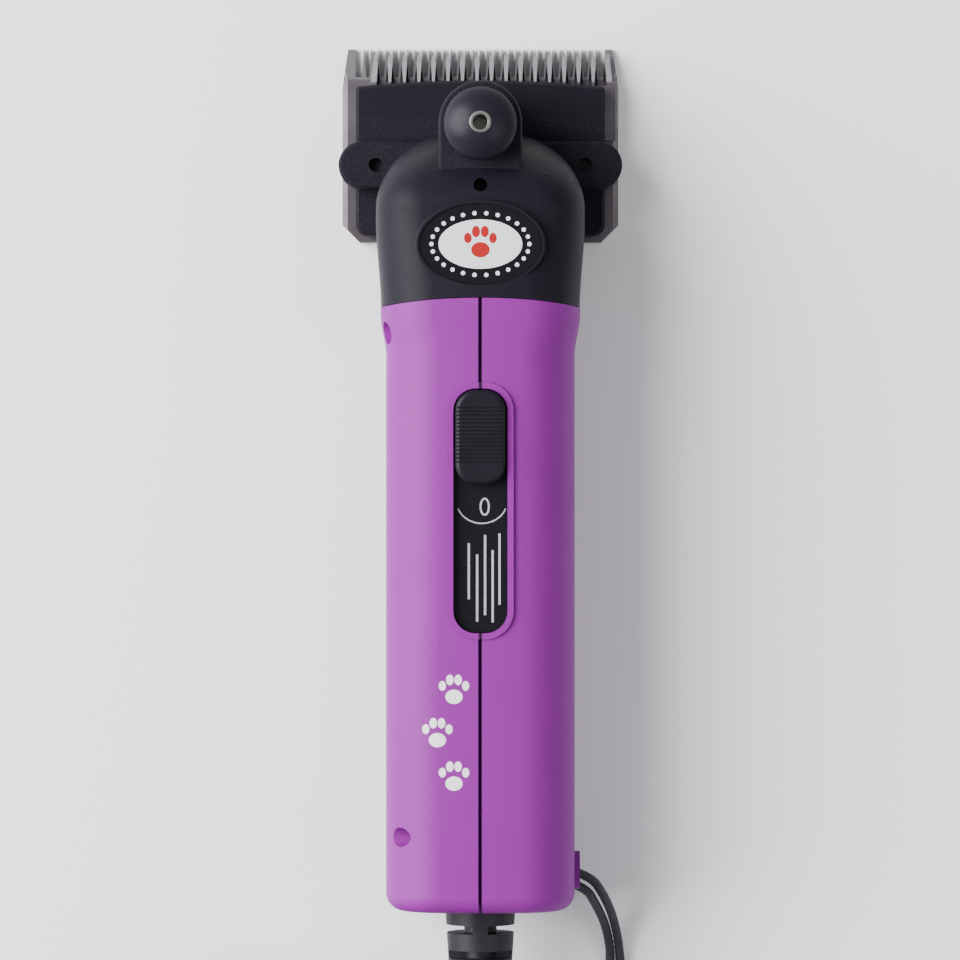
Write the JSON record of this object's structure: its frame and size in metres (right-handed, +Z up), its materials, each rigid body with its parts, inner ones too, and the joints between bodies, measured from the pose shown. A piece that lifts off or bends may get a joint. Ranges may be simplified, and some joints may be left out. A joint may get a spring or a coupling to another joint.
{
  "type": "pet clipper",
  "caption": "Corded pet clipper with a cylindrical two-part handle, domed black head, wide comb and cutter blades, tension knob, slide switch, hanging loop and coiled mains cord.",
  "frame": {"origin": "on the table below the middle of the clipper's own length and width, strain relief included", "axes": "+Y towards the blade tips, +Z up towards the switch and knob side, +X to the right seen from above"},
  "size_m": [0.1252, 0.4224, 0.0571],
  "materials": {
    "handle_plastic": "satin purple moulding",
    "head_plastic": "satin black moulding",
    "badge": "printed gloss badge",
    "blade_steel": "ground steel",
    "screw_steel": "zinc plated",
    "cast_metal": "die cast",
    "gear_plastic": "nylon",
    "brass": "turned brass",
    "lamination": "stacked sheet steel",
    "copper": "enamelled copper",
    "carbon": "carbon",
    "inner_plastic": "black nylon",
    "knob_plastic": "satin black",
    "button_plastic": "satin black",
    "label": "printed gloss label",
    "relief_rubber": "soft black",
    "cord_sheath": "black rubber sheath",
    "plug_plastic": "black plug moulding",
    "loop_braid": "braided black cord"
  },
  "bodies": {
    "housing": {"left_shell": "handle_plastic", "right_shell": "handle_plastic", "shell_screws": "screw_steel", "head_casing": "head_plastic", "badge_plate": "badge", "comb_blade": "blade_steel", "comb_screws": "screw_steel", "fulcrum_post": "screw_steel", "fulcrum_clip": "screw_steel", "front_bearing": "screw_steel", "rear_bearing": "screw_steel", "crank_bearing": "screw_steel", "gear_plate": "cast_metal", "head_screws": "screw_steel", "stator_core": "lamination", "field_coils": "copper", "motor_bridge": "inner_plastic", "motor_bolts": "screw_steel", "brush_holders": "brass", "carbon_brushes": "carbon", "brush_springs": "screw_steel", "tension_pin": "screw_steel", "label_plate": "label", "switch_module": "inner_plastic", "suppressor": "inner_plastic", "terminal_block": "inner_plastic", "strain_relief": "relief_rubber", "inner_cord": "cord_sheath", "cord_clamp": "inner_plastic", "clamp_screws": "screw_steel", "cord_lead": "cord_sheath", "cord_tail": "cord_sheath", "cord_coil": "cord_sheath", "plug_body": "plug_plastic", "plug_pins": "brass", "hanging_loop": "loop_braid"},
    "rotor": {"armature_shaft": "screw_steel", "armature_core": "lamination", "armature_windings": "copper", "commutator": "copper", "cooling_fan": "gear_plastic", "motor_pinion": "screw_steel"},
    "crank": {"crank_gear": "gear_plastic", "crank_spindle": "screw_steel", "crank_roller": "brass"},
    "fork": {"drive_fork": "cast_metal"},
    "cutter": {"cutter_blade": "blade_steel"},
    "tension_carrier": {"spring_cup": "screw_steel", "tension_spring": "screw_steel"},
    "tension_knob": {"tension_knob": "knob_plastic", "knob_insert": "brass"},
    "switch_slider": {"switch_button": "button_plastic", "slider_link": "inner_plastic"}
  },
  "joints": [
    {"name": "rotor_spin", "type": "hinge", "parent": "housing", "child": "rotor", "pos_m": [0, 0.015, 0.0265], "axis": [0, 1, 0], "continuous": true},
    {"name": "crank_spin", "type": "hinge", "parent": "housing", "child": "crank", "pos_m": [0, 0.064, 0.0145], "axis": [0, 1, 0], "continuous": true},
    {"name": "fork_swing", "type": "hinge", "parent": "housing", "child": "fork", "pos_m": [0, 0.1, 0.0105], "axis": [0, 0, 1], "range_deg": [0, 13.12]},
    {"name": "cutter_stroke", "type": "slide", "parent": "housing", "child": "cutter", "axis": [-1, 0, 0], "range_m": [0, 0.0064]},
    {"name": "carrier_slide", "type": "slide", "parent": "housing", "child": "tension_carrier", "axis": [0, 0, -1], "range_m": [0, 0.0015]},
    {"name": "knob_turn", "type": "hinge", "parent": "tension_carrier", "child": "tension_knob", "pos_m": [0, 0.1258, 0.05], "axis": [0, 0, -1], "range_deg": [0, 540]},
    {"name": "switch_slide", "type": "slide", "parent": "housing", "child": "switch_slider", "axis": [0, -1, 0], "range_m": [0, 0.009]}
  ],
  "couplings": [
    {"joint": "crank_spin", "follows": "rotor_spin", "ratio": -0.33333},
    {"joint": "cutter_stroke", "follows": "fork_swing", "m_per_rad": 0.027939},
    {"joint": "carrier_slide", "follows": "knob_turn", "m_per_rad": 0.00015915}
  ]
}
